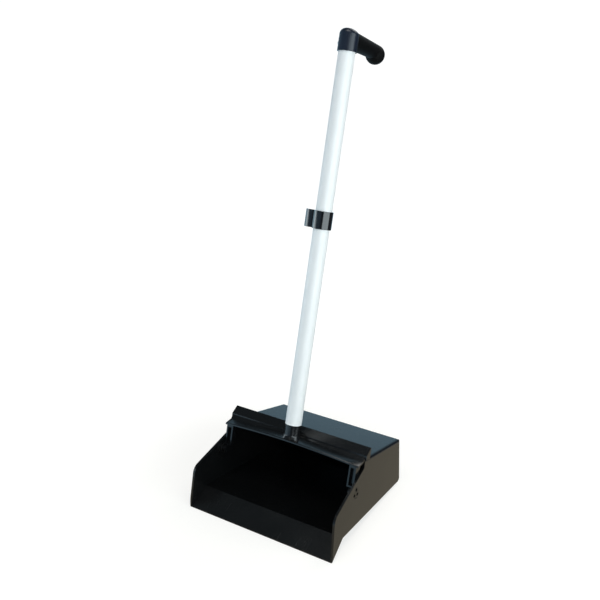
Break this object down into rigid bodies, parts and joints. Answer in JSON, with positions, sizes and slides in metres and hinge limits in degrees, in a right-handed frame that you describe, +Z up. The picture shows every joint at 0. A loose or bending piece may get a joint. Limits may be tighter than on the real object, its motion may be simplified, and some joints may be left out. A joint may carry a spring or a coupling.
{
  "type": "lobby dustpan",
  "caption": "Lobby dustpan: covered plastic pan with a ramped lip, swinging on pins in a yoke below a long tubular handle with a side grip and a broom clip.",
  "frame": {"origin": "middle of the flat land under the lip, on the floor", "axes": "+Z up, +Y from the lip to the rear wall, +X to the right seen from the front"},
  "size_m": [0.2644, 0.3571, 0.7188],
  "materials": {
    "black_plastic": "moulded gloss",
    "pin_plastic": "moulded satin",
    "tube_metal": "satin anodised",
    "screw_steel": "zinc plated",
    "grip_plastic": "moulded satin"
  },
  "bodies": {
    "pan": {"pan_body": "black_plastic"},
    "handle": {"yoke": "black_plastic", "pivot_pin_left": "pin_plastic", "pivot_pin_right": "pin_plastic", "handle_tube": "tube_metal", "tube_screw": "screw_steel", "grip": "grip_plastic", "grip_screw": "screw_steel"},
    "clip": {"broom_clip": "black_plastic"}
  },
  "joints": [
    {"name": "handle_swing", "type": "hinge", "parent": "pan", "child": "handle", "pos_m": [0, 0.078, 0.071], "axis": [1, 0, 0], "range_deg": [0, 110]},
    {"name": "clip_slide", "type": "slide", "parent": "handle", "child": "clip", "axis": [0, 0.2672, 0.9636], "range_m": [-0.278, 0.231]}
  ]
}
